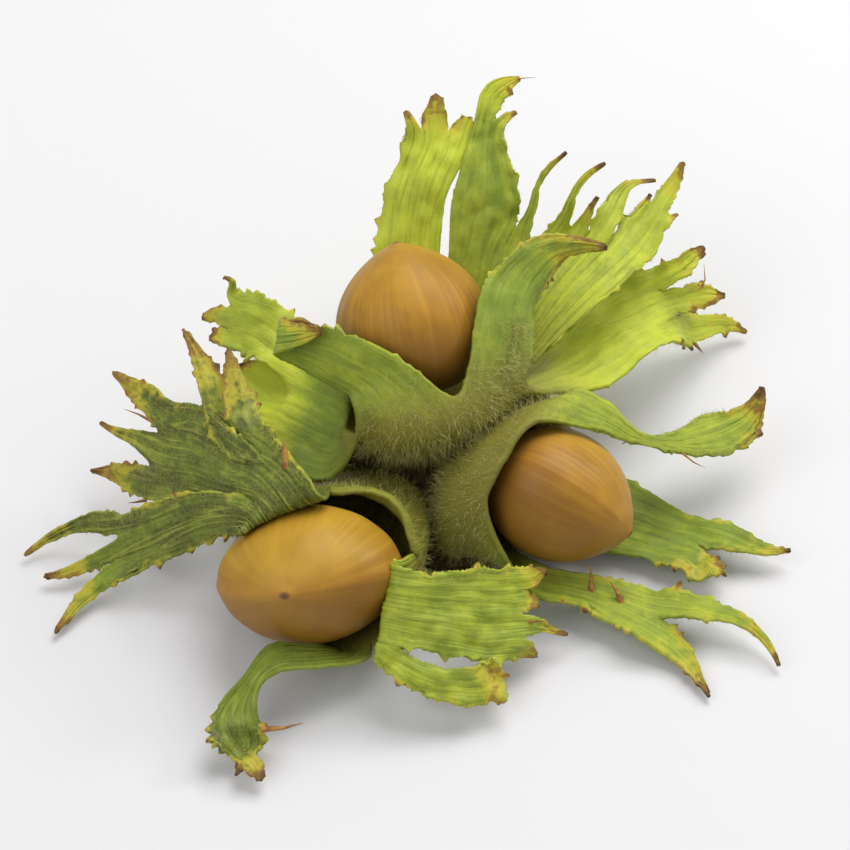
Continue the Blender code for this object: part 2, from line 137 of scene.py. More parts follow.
# The nuts: ripe hazelnuts, a hard brown shell with a pointed tip, a keel down each side
# and a pale scar at the base, sitting deep in the husk. The shell is smooth with a silky
# grain that runs from the base to the tip.
NUT_AROUND = 128
NUT_ALONG = 96
TAPER = 0.05
SHOULDER = 0.06
BASE_FULL = 0.02
KEEL_HIGH = 0.035
KEEL_WIDE = 0.09
FLUTE_HIGH = 0.010
FOUR_SIDED = 0.012
TIP_DRAWN = 0.06
POINT_HIGH = 0.035
POINT_FROM = 0.985
SCAR_AT = -0.9
# Each nut: its middle, the way its tip points, half its width, depth and length, the way a keel
# faces, the way its painted highlight faces, and how sharply painted shade darkens it away from that
# side.
NUTS = {
    "nut_top": ((-1.6, 12.7, 4.0), (-0.2, 0.96, 0.18), 9.3, 9.0, 9.4, (1, 0, 0), (-0.1, 1, 0),
                0.35),
    "nut_left": ((-14.2, -18.3, 13.5), (-0.24, -0.19, 0.95), 11.2, 8.3, 9.5, (1, 0.14, 0),
                 (-0.13, 0.95, 0.16), 1.0),
    "nut_right": ((16.7, -8.8, 5.2), (0.86, -0.45, 0.22), 8.1, 8.1, 9.2, (0, 0.3, 1),
                  (0.52, 0.86, -0.26), 0.4),
}


def add_node(tree, kind, values=(), **settings):
    """A shader node with its settings, and its inputs by name or number."""
    made = tree.nodes.new("ShaderNode" + kind)
    for key, value in settings.items():
        setattr(made, key, value)
    for key, value in dict(values).items():
        if isinstance(value, bpy.types.NodeSocket):
            tree.links.new(value, made.inputs[key])
        else:
            made.inputs[key].default_value = value
    return made


def reading(tree, name, output="Fac"):
    """A piece's own attribute."""
    return add_node(tree, "Attribute", attribute_name=name).outputs[output]


def sums(tree, operation, first, second=0.0, third=0.0):
    """The result of a Math node on two or three numbers."""
    made = add_node(tree, "Math", {0: first, 1: second, 2: third}, operation=operation)
    return made.outputs[0]


def mask(tree, value, low, high, least=0.0, most=1.0):
    """A value spread smoothly between two levels."""
    made = add_node(tree, "MapRange", {0: value, 1: low, 2: high, 3: least, 4: most},
                    interpolation_type="SMOOTHSTEP")
    return made.outputs[0]


def tint(tree, share, first, second, blend_type="MIX"):
    """Two colours mixed by a share."""
    made = add_node(tree, "Mix", {0: share}, data_type="RGBA", blend_type=blend_type)
    for key, value in ((6, first), (7, second)):
        if isinstance(value, bpy.types.NodeSocket):
            tree.links.new(value, made.inputs[key])
        else:
            made.inputs[key].default_value = (*value, 1.0)
    return made.outputs[2]


def speckle(tree, vector, scale, detail=3.0, rough=0.55):
    """Noise over the surface, from 0 to 1."""
    made = add_node(tree, "TexNoise", {"Vector": vector, "Scale": scale, "Detail": detail,
                                       "Roughness": rough})
    return made.outputs["Fac"]


def fibre_group():
    """Streaks along the grain of a nut, a leaf or the stalk, fine and broad."""
    tree = bpy.data.node_groups.new("fibre", "ShaderNodeTree")
    for name, kind in (("Grain", "NodeSocketVector"), ("Across", "NodeSocketFloat"),
                       ("Along", "NodeSocketFloat")):
        tree.interface.new_socket(name, in_out="INPUT", socket_type=kind)
    for name in ("Fine", "Broad"):
        tree.interface.new_socket(name, in_out="OUTPUT", socket_type="NodeSocketFloat")
    given = tree.nodes.new("NodeGroupInput")
    result = tree.nodes.new("NodeGroupOutput")
    for name, share in (("Fine", 1.0), ("Broad", 0.3)):
        wide = sums(tree, "MULTIPLY", given.outputs["Across"], share)
        long = sums(tree, "MULTIPLY", given.outputs["Along"], share)
        scale = add_node(tree, "CombineXYZ", {0: wide, 1: wide, 2: long})
        spread = add_node(tree, "VectorMath", {0: given.outputs["Grain"], 1: scale.outputs[0]},
                          operation="MULTIPLY")
        tree.links.new(speckle(tree, spread.outputs[0], 1.0), result.inputs[name])
    return tree


fibre = fibre_group()


def streaks(tree, across, along):
    """The fibre group on a piece's grain."""
    made = add_node(tree, "Group", node_tree=fibre)
    tree.links.new(reading(tree, "grain", "Vector"), made.inputs["Grain"])
    made.inputs["Across"].default_value = across
    made.inputs["Along"].default_value = along
    return made.outputs["Fine"], made.outputs["Broad"]


def finish_material(name, colour, rough, height, strength, distance, **shader):
    """Put a colour, a roughness and a relief on a material's own shader."""
    made = bpy.data.materials[name]
    tree = made.node_tree
    skin = tree.nodes["Principled BSDF"]
    tree.links.new(colour, skin.inputs["Base Color"])
    tree.links.new(rough, skin.inputs["Roughness"])
    bump = add_node(tree, "Bump", {"Height": height, "Strength": strength,
                                   "Distance": distance * MM})
    tree.links.new(bump.outputs["Normal"], skin.inputs["Normal"])
    for key, value in shader.items():
        skin.inputs[key.replace("_", " ")].default_value = value
    return made


def new_material(name):
    """The tree of a new material, with its place on the object."""
    made = bpy.data.materials.new(name)
    made.use_nodes = True
    tree = made.node_tree
    return tree, add_node(tree, "TexCoord").outputs["Object"]


def nut_material():
    """Tan shell: silky lengthwise grain, painted shade towards the base where it sits in the cup and
    on the side away from the light, a painted highlight on the lit side, a dark greyish tip.
    """
    tree, where = new_material("nut_shell")
    grain = add_node(tree, "SeparateXYZ", {0: reading(tree, "grain", "Vector")})
    along = grain.outputs[2]
    fine, broad = streaks(tree, 34.0, 1.3)
    cloud = speckle(tree, where, 150.0)
    base = tint(tree, mask(tree, cloud, 0.32, 0.72), (0.285, 0.124, 0.014), (0.43, 0.219, 0.023))
    calm = mask(tree, along, 0.95, 0.35, 0.3, 1.0)
    light_line = sums(tree, "MULTIPLY", mask(tree, broad, 0.42, 0.70, 0.0, 0.38), calm)
    dark_line = sums(tree, "MULTIPLY", mask(tree, broad, 0.50, 0.28, 0.0, 0.36), calm)
    thin_line = sums(tree, "MULTIPLY", mask(tree, fine, 0.52, 0.78, 0.0, 0.30), calm)
    base = tint(tree, light_line, base, (0.52, 0.31, 0.030))
    base = tint(tree, dark_line, base, (0.27, 0.115, 0.020))
    base = tint(tree, thin_line, base, (0.22, 0.10, 0.020))
    # Painted shade: darker towards the base, where the nut sits down in the cup.
    low = mask(tree, along, 0.25, -0.75, 0.0, 0.55)
    base = tint(tree, low, base, (0.30, 0.13, 0.024))
    pale = mask(tree, along, -0.80, -0.90)
    base = tint(tree, pale, base, (0.50, 0.36, 0.20))
    # Painted light: painted shade on the side away from the highlight, and a painted golden highlight
    # on the other side.
    painted_light_side = reading(tree, "painted_light")
    base = tint(tree, mask(tree, painted_light_side, -0.05, 0.16, 0.0, 0.62), base, (0.215, 0.104, 0.014))
    base = tint(tree, mask(tree, painted_light_side, 0.02, -0.5, 0.0, 0.30), base, (0.58, 0.40, 0.030))
    dust = sums(tree, "MULTIPLY", mask(tree, along, 0.60, 1.0, 0.0, 0.25), cloud)
    base = tint(tree, dust, base, (0.50, 0.33, 0.07))
    tip = mask(tree, along, 0.996, 1.0, 0.0, 0.9)
    base = tint(tree, tip, base, (0.09, 0.055, 0.025))
    rough = mask(tree, cloud, 0.3, 0.7, 0.38, 0.52)
    height = sums(tree, "ADD", sums(tree, "MULTIPLY", fine, 0.5), cloud)
    return finish_material("nut_shell", base, rough, height, 0.18, 0.10,
                           Specular_IOR_Level=0.26)


def axes(normal, zero):
    """Two directions across a ring, the first nearest to zero."""
    first = (zero - normal * zero.dot(normal)).normalized()
    return first, first.cross(normal)


def add_piece(name, bm, material, slot, *nodes):
    """A finished mesh as a piece that rides on the cluster and stands for its nodes."""
    mesh = bpy.data.meshes.new(name)
    bm.to_mesh(mesh)
    bm.free()
    mesh.materials.append(material)
    for face in mesh.polygons:
        face.use_smooth = True
    made = bpy.data.objects.new(name, mesh)
    bpy.context.scene.collection.objects.link(made)
    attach(made, "root")
    if nodes:
        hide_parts(*nodes)
    return made


def nut(name, spec):
    """A nut shell, from a sphere that is tapered, keeled, fluted and drawn to a point."""
    (x, up, out), way, half_wide, half_deep, half_long, keel_way, highlight_way, crisp = spec
    normal = aim(*way)
    first, second = axes(normal, aim(*keel_way))
    middle = place(x, up, out)
    bm = bmesh.new()
    grain = bm.verts.layers.float_vector.new("grain")
    painted_light = bm.verts.layers.float.new("painted_light")
    bmesh.ops.create_uvsphere(bm, u_segments=NUT_AROUND, v_segments=NUT_ALONG, radius=1.0)
    for vert in bm.verts:
        along = vert.co.z
        rim = math.sqrt(max(0.0, 1.0 - along * along))
        around = math.atan2(vert.co.y, vert.co.x)
        vert[grain] = (math.cos(around), math.sin(around), along)
        upper = max(0.0, along)
        # Fuller towards the base, drawn in towards the tip.
        lower = min(1.0, max(0.0, -3 * along))
        swell = rim * (1.0 - TAPER * along - SHOULDER * upper ** 2 + BASE_FULL * lower)
        # Two keels run from the tip down the sides, and the shell is faintly fluted.
        keel = math.exp(-(math.sin(around) / KEEL_WIDE) ** 2) * (0.25 + 0.75 * upper)
        flute = noise.noise(Vector((math.cos(around) * 3.2, math.sin(around) * 3.2, along)))
        swell *= 1.0 + KEEL_HIGH * keel + FLUTE_HIGH * flute + FOUR_SIDED * math.cos(4 * around)
        point = max(0.0, (along - POINT_FROM) / 0.015) ** 2
        tall = along + TIP_DRAWN * upper ** 12 + POINT_HIGH * point
        tall = max(tall, SCAR_AT + 0.02 * flute * rim)
        vert.co = middle + (first * math.cos(around) * half_wide * swell
                            - second * math.sin(around) * half_deep * swell
                            + normal * tall * half_long) * MM
        # Painted light: how far this point lies towards the painted shade side, away from the painted
        # highlight.
        vert[painted_light] = -crisp * (vert.co - middle).dot(aim(*highlight_way)) / (half_deep * MM)
    return add_piece(name + "_shell", bm, nut_shell, "shell", name)


nut_shell = nut_material()
for name, spec in NUTS.items():
    nut(name, spec)


# The husks: each nut sits in a cup of two leafy bracts grown together, fleshy and downy at
# the base, and torn above into long toothed lobes. The blades are thin, ribbed lengthwise,
# yellow-green, and dry to brown at the tips and along the torn edges.
CUP_THICK = 1.5
BLADE_THICK = 0.45
FINE_LEVELS = 3
BOTH = 2
# Directions of the layout: into the picture, out of it and down to the table.
IN = (0.0, 0.0, -1.0)
OUT = (0.0, 0.0, 1.0)
FLOOR = (0.0, -0.64, -0.77)


def lobe(*stations, into=(), cols=2, tone=None, dry=None, calm=0):
    """A strip of husk, as stations that may split into children.

    A station is right, up, out and half-width. Unless the strip lies flat there, facing
    the viewer, back direction and bulge follow, and where the line of centres doesn't
    show it, the direction that the strip runs in. The tone goes from 0, dark green, to
    about 1, yellow-green. Dry is how far the end has withered, where above 1 is crumpled,
    and calm is the side where the edge is smooth, -1, 1 or BOTH.
    """
    stations = [spot if len(spot) > 4 else (*spot, IN, 0.0) for spot in stations]
    return stations, into, cols, tone, dry, calm


# A cup's rings are middle, way it opens and two half-widths. Its lobes stand at angles
# round the rim, counted from the husk's zero direction.
TOP_RINGS = (
    ((1.6, -3.0, -3.0), (-0.1, 0.85, 0.5), 2.8, 2.8),
    ((1.6, -0.6, 1.5), (-0.30, 0.93, 0.22), 8.4, 7.2),
    ((0.8, 0.6, 2.6), (-0.25, 0.95, 0.18), 10.2, 9.2),
    ((0.0, 2.1, 3.4), (-0.18, 0.97, 0.17), 10.8, 10.0),
)
TOP_LOBES = (
    (15, lobe(
        (9.9, 10.6, 8.2, 5.0, (0.57, 0.0, 0.82), 1.0),
        (9.9, 15.3, 7.6, 4.6, (0.60, 0.0, 0.80), 0.8),
        (12.2, 19.2, 5.4, 3.4, (0.50, -0.2, 0.80), 0.4),
        (15.5, 21.8, 5.0, 2.4, (0.20, -0.5, 0.85), 0.4),
        (19.0, 22.5, 5.0, 1.3, (0.10, -0.5, 0.85), 0.4),
        (22.5, 21.9, 5.0, 0.5, (0.10, -0.5, 0.85), 0.0), cols=4, tone=0.52)),
    (64, lobe(
        (-4.2, 4.2, 12.2, 5.0, (-0.1, -0.35, 0.9), 0.3, (-0.3, 0.95, 0.0)),
        (-7.8, 7.3, 11.8, 4.3, (-0.2, -0.5, 0.83), 0.5),
        (-11.9, 8.6, 9.6, 3.8, (-0.2, -0.4, 0.85), 0.6),
        (-15.2, 9.8, 8.2, 2.7, (0.0, -0.4, 0.9), 0.6),
        (-17.8, 10.6, 9.0, 2.3, (0.6, -0.3, 0.6), 0.3),
        (-18.0, 10.8, 11.0, 2.2, (0.8, -0.1, 0.1), 0.0),
        (-15.4, 11.1, 12.2, 1.9, (0.3, 0.3, -0.65), 0.0),
        (-12.6, 11.5, 11.6, 1.0, (0.3, 0.3, -0.65), 0.0), cols=4, tone=0.62, calm=1)),
    # The bract's dark base tone is partly its own colour and partly painted shade. The tones above 1
    # on its yellow left lobe are partly painted light, lifting it out of the shade of the lobe above
    # it.
    (137, lobe(
        (-9.6, -0.5, 5.4, 8.3, (0.24, -0.37, -0.9), 0.8, (-1.0, 0.1, -0.3)),
        (-14.4, 2.0, 1.8, 9.6, (0.0, -0.5, -0.87), 0.6, (-1.0, 0.1, -0.4)), tone=0.44,
        into=(
            lobe(
                (-18.0, 3.8, -1.6, 9.6, (0.0, -0.5, -0.87), 0.4, (-1.0, 0.1, -0.4)), tone=1.15,
                into=(
                    lobe(
                        (-20.8, 1.2, -4.2, 5.8, (0.0, -0.4, -0.92), 0.3), tone=1.1,
                        into=(
                            lobe((-22.6, -1.2, -5.6, 2.2, FLOOR, 0.2),
                                 (-24.0, -0.8, -6.6, 1.1, FLOOR, 0.0), tone=0.5),
                            lobe(
                                (-23.2, 6.0, -6.0, 5.0, (0.0, -0.35, -0.93), 0.3),
                                (-25.2, 6.6, -7.6, 3.0, FLOOR, 0.0), cols=3, tone=1.4),
                        )),
                    lobe(
                        (-21.0, 13.0, -4.6, 4.4, IN, 0.4), (-24.0, 13.2, -6.2, 3.8, IN, 0.3),
                        tone=0.72, dry=1.6,
                        into=(
                            lobe((-26.4, 11.4, -6.8, 1.6), (-27.6, 11.0, -7.2, 0.5), cols=1),
                            lobe((-26.8, 14.0, -7.0, 1.5), (-28.5, 13.8, -7.4, 0.6), cols=1),
                            lobe((-25.0, 16.6, -6.6, 0.8), (-24.0, 18.4, -6.0, 0.5),
                                 (-25.6, 18.6, -5.4, 0.25), cols=1),
                        )),
                )),
        ))),
    (215, lobe(
        (-3.0, 14.5, -7.2, 4.6, IN, -0.6), (-2.1, 22.5, -6.4, 3.9, IN, -0.6),
        (-1.6, 28.4, -5.0, 4.0, IN, -0.5), (-0.4, 32.0, -4.4, 3.9, IN, -0.4),
        (1.7, 35.8, -4.6, 4.2, IN, -0.2), tone=0.95, dry=1.4, calm=1,
        into=(
            lobe((-1.9, 38.4, -4.0, 0.6), (-2.5, 39.6, -4.0, 0.25), dry=0.8),
            lobe((1.0, 38.4, -4.4, 2.1), (1.5, 41.7, -4.0, 1.2), dry=0.9),
            lobe((4.7, 37.4, -4.8, 1.9), (5.6, 38.8, -4.8, 1.8), dry=0.5),
        ))),
    (262, lobe(
        (6.9, 14.5, -6.4, 4.5, IN, -0.6), (7.8, 22.4, -5.8, 4.8, IN, -0.6), tone=0.68, calm=-1,
        into=(
            lobe(
                (7.8, 26.4, -5.0, 4.8, IN, -0.5), (8.0, 29.8, -4.6, 4.2, IN, -0.4),
                (7.8, 33.0, -4.2, 3.2, IN, -0.2), (7.8, 36.2, -4.0, 2.3), (8.3, 38.0, -4.0, 1.9),
                dry=1.35,
                into=(
                    lobe((8.1, 40.6, -4.0, 1.6), (8.9, 42.2, -4.0, 1.6), (10.4, 43.1, -4.0, 1.1),
                         (12.0, 43.7, -4.0, 0.5), tone=1.0),
                    lobe((10.5, 39.0, -4.0, 0.5), (11.6, 39.4, -4.0, 0.4)),
                )),
            lobe((13.4, 26.4, -4.4, 0.5), (14.1, 30.9, -3.0, 0.3), (16.2, 33.2, -2.7, 0.3),
                 (17.8, 34.3, -2.5, 0.12)),
        ))),
    (305, lobe(
        (15.2, 16.4, -4.0, 5.6, (0.3, -0.2, -0.9), -0.6),
        (21.4, 22.4, -6.0, 6.6, (0.3, -0.2, -0.9), -0.6), tone=0.84,
        into=(
            lobe((17.8, 26.6, -2.5, 0.55), (18.9, 30.0, -1.8, 0.3), (20.7, 31.8, -1.4, 0.3),
                 (22.6, 32.8, -1.0, 0.12)),
            lobe((20.4, 26.4, -4.5, 0.6), (21.8, 28.8, -4.0, 0.3)),
            lobe((23.6, 26.8, -7.0, 1.9), (25.0, 30.0, -8.0, 0.9), (26.6, 30.9, -8.4, 0.35),
                 (29.4, 31.2, -9.0, 0.12)),
            lobe(
                (27.4, 24.2, -9.0, 3.2, IN, 0.3), (29.6, 27.2, -10.2, 2.4, IN, 0.2),
                into=(
                    lobe((28.9, 29.6, -10.4, 0.5), cols=1),
                    lobe((31.3, 30.2, -11.3, 1.1), (32.4, 32.0, -11.8, 0.7),
                         (33.2, 33.8, -12.0, 0.4)),
                    lobe((32.4, 27.0, -11.0, 0.5), cols=1),
                )),
        ))),
    # This fan's high tone is partly its yellow-green colour and partly painted light, lifting its
    # base out of the shade of the front lobe.
    (347, lobe(
        (18.0, 7.4, -7.4, 7.4, (0.3, -0.4, -0.85), -0.4),
        (24.6, 12.8, -9.5, 6.2, (0.3, -0.4, -0.85), -0.4),
        (30.0, 15.4, -12.4, 5.2, (0.2, -0.3, -0.9), -0.2), tone=0.94, dry=1.4,
        into=(
            lobe((32.8, 20.0, -12.6, 1.6), (34.4, 22.0, -13.0, 1.1), (35.9, 22.8, -13.2, 0.35)),
            lobe((34.9, 16.7, -15.0, 1.9, IN, 0.2), (37.4, 16.8, -16.0, 1.1),
                 (38.9, 16.8, -16.4, 0.5)),
            lobe((34.8, 12.4, -18.0, 2.1, IN, 0.2), (38.6, 13.3, -21.0, 1.3),
                 (40.6, 13.2, -22.6, 0.8), (42.3, 12.2, -24.0, 0.3)),
        ))),
)

RIGHT_RINGS = (
    ((2.6, -8.8, -1.0), (0.95, 0.1, 0.3), 2.6, 2.6),
    ((3.4, -9.0, 0.8), (0.90, -0.2, 0.30), 6.4, 6.2),
    ((7.6, -7.5, 2.6), (0.87, -0.4, 0.27), 9.6, 8.6),
    ((11.3, -6.2, 3.7), (0.85, -0.45, 0.25), 10.9, 9.8),
)
RIGHT_LOBES = (
    (-45, lobe(
        (17.2, 3.1, 6.9, 3.5, (0.0, 0.6, 0.8), 0.6),
        (22.3, 0.9, 5.9, 2.6, (0.0, 0.6, 0.8), 0.4),
        (25.9, -1.6, 3.4, 1.2, (0.0, 0.6, 0.8), 0.2),
        (28.2, -2.1, 1.6, 0.7, (0.0, 0.6, 0.8), 0.0),
        (31.8, -2.4, -0.6, 2.1, (0.0, 0.5, 0.85), 0.0),
        (36.4, -1.3, -3.0, 3.8, (0.0, 0.5, 0.85), 0.0),
        (40.0, 0.0, -4.6, 2.5, (0.0, 0.5, 0.85), 0.0),
        (42.2, 2.6, -4.9, 1.0, (0.0, 0.5, 0.85), 0.0),
        (42.6, 4.8, -5.0, 0.35, (0.0, 0.5, 0.85), 0.0), cols=4, tone=0.66)),
    (45, lobe(
        (20.5, -10.4, -5.4, 6.6, FLOOR, 0.4), (27.6, -12.8, -1.2, 5.0, FLOOR, 0.5),
        (33.1, -14.4, 0.4, 4.4, FLOOR, 0.3), tone=0.46, dry=1.3,
        into=(
            lobe((37.6, -14.2, 0.6, 2.6, FLOOR, 0.0), (41.5, -15.4, 1.0, 1.3, FLOOR, 0.0),
                 (43.8, -15.7, 1.3, 0.6, FLOOR, 0.0), (45.6, -15.6, 1.6, 0.3, FLOOR, 0.0)),
            lobe((34.2, -17.6, 2.6, 2.1, FLOOR, 0.0), (34.9, -19.4, 4.0, 3.1, FLOOR, 0.0), dry=1.5),
        ))),
    (150, lobe(
        (12.8, -19.2, 6.4, 2.6, FLOOR, 0.4), (17.0, -19.5, 6.2, 2.0, FLOOR, 0.4),
        (21.8, -20.8, 6.8, 3.1, FLOOR, 0.3), (27.4, -23.4, 7.8, 4.2, FLOOR, 0.3), tone=0.66,
        into=(
            lobe((34.2, -22.4, 8.4, 2.1, FLOOR, 0.2), (39.0, -23.9, 8.8, 0.9, FLOOR, 0.0),
                 (42.2, -26.6, 9.7, 0.35, FLOOR, 0.0), (43.2, -29.4, 10.7, 0.12, FLOOR, 0.0)),
            lobe((30.8, -27.0, 9.6, 2.3, FLOOR, 0.2), (32.8, -29.6, 11.0, 1.0, FLOOR, 0.0),
                 (34.5, -33.0, 13.4, 0.15, FLOOR, 0.0)),
        ))),
    (245, lobe(cols=4, tone=0.5)),
)

LEFT_RINGS = (
    ((-4.0, -11.0, -1.5), (-0.6, 0.1, 0.75), 2.6, 2.6),
    ((-5.6, -12.0, 1.2), (-0.5, 0.2, 0.83), 6.6, 6.2),
    ((-10.0, -15.2, 3.8), (-0.34, 0.2, 0.92), 10.4, 8.8),
    ((-12.3, -17.4, 8.8), (-0.34, 0.0, 0.94), 11.8, 9.6),
)
LEFT_LOBES = (
    (-12, lobe(
        (-3.3, -21.8, 15.4, 5.8, (0.92, -0.19, 0.34), 0.0, (-0.35, 0.0, 0.94)),
        (-5.8, -22.4, 18.6, 5.9, (0.6, -0.1, -0.5), 0.0, (0.5, 0.0, 0.6)),
        (-2.8, -22.8, 19.8, 6.1, (0.2, -0.1, -0.95), 0.0), tone=0.68,
        into=(
            lobe(
                (2.4, -22.5, 18.4, 5.2, (0.1, -0.1, -0.95), 0.4),
                (6.8, -23.0, 16.2, 6.0, (0.1, -0.1, -0.95), 0.4),
                (11.4, -23.0, 13.0, 5.7, (0.1, -0.1, -0.95), 0.3), dry=1.5,
                into=(
                    lobe((13.4, -18.6, 11.6, 1.5), (14.8, -17.7, 10.4, 0.5)),
                    lobe((12.6, -21.2, 12.2, 1.3), (13.8, -21.8, 11.4, 0.9)),
                    lobe((13.4, -24.3, 11.8, 1.2), (15.4, -25.0, 10.8, 0.4), (17.4, -25.6, 9.6, 0.2)),
                    lobe((12.4, -27.3, 12.4, 1.4), (13.6, -28.2, 11.4, 0.5)),
                )),
            lobe((-1.6, -29.9, 18.9, 1.9), (2.4, -31.3, 18.4, 2.2), (5.8, -31.6, 17.6, 2.5),
                 (8.2, -30.9, 17.0, 3.0), (9.6, -30.5, 16.6, 3.3), dry=1.5),
        ))),
    (62, lobe(
        (-8.2, -28.0, 14.6, 2.9, (-0.1, -0.75, -0.6), 0.0),
        (-14.2, -27.8, 17.6, 1.9, (0.0, -0.6, -0.8), 0.0),
        (-18.4, -27.5, 18.8, 2.3, (0.0, -0.4, -0.9), 0.4),
        (-20.8, -30.6, 19.2, 0.8), (-22.6, -33.8, 19.8, 2.5, IN, 1.0),
        tone=0.36, dry=1.2, calm=BOTH,
        into=(
            lobe(
                (-22.6, -36.4, 20.2, 3.4, IN, -1.2), (-21.4, -38.6, 20.8, 2.7, IN, 1.0),
                tone=0.22, dry=1.9,
                into=(
                    lobe((-22.0, -40.2, 20.8, 1.2), (-22.2, -41.2, 21.2, 0.8)),
                    lobe((-20.0, -40.6, 21.4, 1.5), (-19.4, -42.3, 22.4, 0.8)),
                )),
        ))),
    (118, lobe(cols=4, tone=0.4)),
    (196, lobe(
        (-17.2, -9.7, 12.0, 6.0, (-0.41, 0.91, 0.0), 0.0, (0.0, 0.0, 1.0)),
        (-17.5, -11.4, 18.7, 5.8, (-0.38, 0.85, 0.3), 0.0, (-0.1, -0.3, 0.95)),
        (-19.2, -7.6, 17.6, 6.2, (-0.2, 0.3, -0.8), 0.0), tone=0.16,
        into=(
            lobe(
                (-26.0, -10.4, 11.4, 3.3, (0.0, 0.2, -0.9), 0.0),
                (-31.0, -12.6, 8.2, 3.4), (-36.2, -14.6, 5.2, 3.7), tone=0.20,
                into=(
                    lobe((-39.8, -18.8, 4.4, 1.2), (-43.0, -22.1, 5.2, 0.8),
                         (-45.5, -25.6, 7.3, 0.35), tone=0.5),
                    lobe((-40.4, -16.6, 2.8, 1.0), (-44.2, -18.4, 2.6, 0.8),
                         (-47.4, -18.9, 2.4, 0.35), tone=0.4),
                    lobe((-40.8, -12.0, 1.8, 1.7), (-44.0, -12.6, 0.0, 0.8),
                         (-47.0, -14.0, -0.6, 0.45), (-50.2, -16.4, -0.4, 0.25)),
                )),
            lobe(
                (-25.0, -5.4, 10.0, 6.0, (-0.1, 0.2, -0.9), 0.0),
                (-28.8, -3.6, 6.4, 6.6), (-32.4, -3.6, 3.6, 6.2),
                into=(
                    lobe((-36.8, -6.6, -0.4, 1.8), (-39.6, -5.8, -2.8, 1.0),
                         (-42.1, -5.8, -4.5, 0.35)),
                    lobe((-36.6, -1.2, 0.4, 1.1), (-38.6, -1.0, -1.4, 0.45),
                         (-40.8, 0.3, -3.0, 0.25)),
                    lobe((-34.0, 2.8, 2.4, 1.9), (-36.6, 4.8, 0.4, 1.2), (-39.1, 6.6, -1.8, 0.35)),
                )),
            lobe(
                (-22.6, -2.4, 11.6, 3.6, (-0.2, 0.1, -0.9), 0.0),
                into=(
                    lobe((-25.6, 3.0, 7.0, 2.0), (-27.6, 7.9, 4.4, 1.2), (-30.1, 11.9, 2.0, 0.35),
                         tone=0.3),
                    lobe((-22.3, 1.4, 10.6, 2.4), (-23.2, 5.4, 9.4, 1.5), (-24.3, 9.6, 7.6, 0.4)),
                )),
        ))),
    (283, lobe(
        (-6.2, -11.9, 11.8, 7.2, (0.57, 0.82, 0.0), 4.6, OUT),
        (-6.8, -12.3, 14.0, 6.4, (0.57, 0.82, 0.0), 4.4, OUT), cols=4, tone=0.62, dry=0.0)),
)


def columns(strip):
    """The number of faces across a strip, with its children."""
    return sum(columns(child) for child in strip[1]) if strip[1] else strip[2]


def step_out(bm, row):
    """Extrude a row of the free edge, and give the new row in the same order."""
    edges = [bm.edges.get(pair) for pair in zip(row, row[1:])]
    made = bmesh.ops.extrude_edge_only(bm, edges=edges)["geom"]
    fresh = {item for item in made if isinstance(item, bmesh.types.BMVert)}
    return [next(edge.other_vert(vert) for edge in vert.link_edges
                 if edge.other_vert(vert) in fresh) for vert in row]


# An end narrower than this half-width, in millimetres, is drawn to a point.
BLUNT_FROM = 3.0
END_SHARE = 0.4
STEPS_TO_OPEN = 3.0
TOOTH_SHARE = 0.5
CALM_SHARE = 0.15
TIP_FADE = (1.0, 0.5, 0.2, 0.0)
WIDE_TIP = 0.2


def mark(layers, vert, **values):
    """Set a vertex's own values."""
    for key, value in values.items():
        vert[layers.float[key]] = value


def grow(bm, row, strip, tone, step, withered=1.0, quiet=0):
    """Carry a row of husk out along its stations, then split it into its children."""
    stations, into, cols, own_tone, dry, calm = strip
    calm = calm or quiet
    dry = withered if dry is None else dry
    fresh = dry < 0.5
    layers = bm.verts.layers
    tone = tone if own_tone is None else own_tone
    for i, (x, up, out, half, back, bulge, *along) in enumerate(stations):
        last = len(stations) - 1 - i
        half *= 1.0 if into or last or half > BLUNT_FROM else END_SHARE
        here = place(x, up, out)
        behind = sum((v.co for v in row), Vector()) / len(row)
        ahead = here + (here - behind)
        if i + 1 < len(stations):
            ahead = place(*stations[i + 1][:3])
        elif into:
            heads = [place(*child[0][0][:3]) for child in into if child[0]]
            ahead = sum(heads, Vector()) / len(heads)
        tangent = aim(*along[0]) if along else (ahead - behind).normalized()
        face = aim(*back)
        across = face.cross(tangent).normalized()
        face = tangent.cross(across)
        reach = (here - behind).length / MM
        step += 1
        row = step_out(bm, row)
        for j, vert in enumerate(row):
            side = 2.0 * j / (len(row) - 1) - 1.0
            vert.co = here + (across * half * side + face * bulge * (1.0 - side * side)) * MM
            open_leaf = min(1.0, step / STEPS_TO_OPEN) * min(1.0, half * TOOTH_SHARE)
            smooth = fresh or side * calm > 0.9 or calm == BOTH
            share = 0.0 if into else TIP_FADE[min(last, 3)]
            share *= WIDE_TIP if half > BLUNT_FROM else 1.0
            mark(layers, vert, tone=tone, thick=0.12 if step == 1 else 0.0,
                 blade=open_leaf * (CALM_SHARE if smooth else 1.0),
                 fuzz=0.62 if fresh else 0.3 if step == 1 else 0.0,
                 tip=share * min(dry, 1.0), crumple=max(0.0, dry - 1.0))
            vert[layers.float_vector["grain"]].z += reach
    start = 0
    for child in into:
        wide = columns(child)
        if start:
            row[start][layers.float["blade"]] *= CALM_SHARE
        outer = -1 if start == 0 else 1 if child is into[-1] else 0
        grow(bm, row[start:start + wide + 1], child, tone, step, dry, calm if calm == outer else 0)
        start += wide


